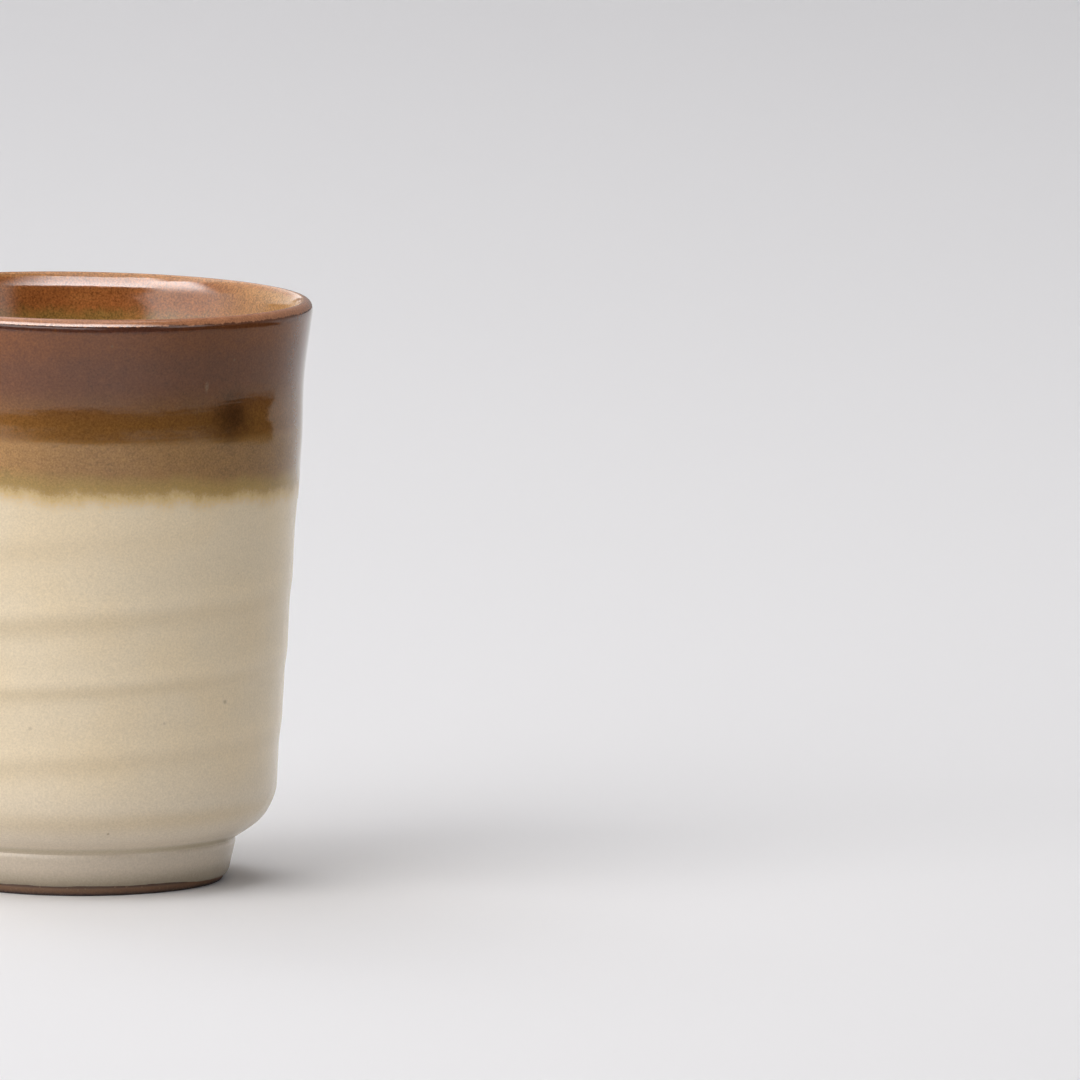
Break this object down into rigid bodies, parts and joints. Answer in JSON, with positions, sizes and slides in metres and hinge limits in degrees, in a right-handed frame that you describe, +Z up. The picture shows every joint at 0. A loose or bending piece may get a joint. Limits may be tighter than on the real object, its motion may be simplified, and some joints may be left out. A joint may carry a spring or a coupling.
{
  "type": "yunomi tea cup",
  "caption": "Tall handleless stoneware tea cup on a trimmed foot ring, thrown with faint finger rings, cream glaze below and amber glaze above and inside.",
  "frame": {"origin": "centre of the foot ring's resting face, on the table", "axes": "+Z up along the axis of the cup, from foot to lip; X and Y are alike"},
  "size_m": [0.072, 0.072, 0.092],
  "materials": {
    "bare_clay": "unglazed dark brown stoneware, matt, wiped with a sponge",
    "cream_glaze": "glossy cream glaze with a warm yellow cast, pinholes and a few iron specks",
    "amber_glaze": "glossy amber-brown glaze, ochre where it thins over the cream, broken dark line under the lip",
    "liner_glaze": "glossy amber glaze, thicker and darker in the well",
    "foot_glaze": "glossy cream glaze"
  },
  "bodies": {
    "root": {"clay_body": "bare_clay", "cream_glaze": "cream_glaze", "amber_glaze": "amber_glaze", "liner_glaze": "liner_glaze", "foot_glaze": "foot_glaze"}
  },
  "joints": []
}
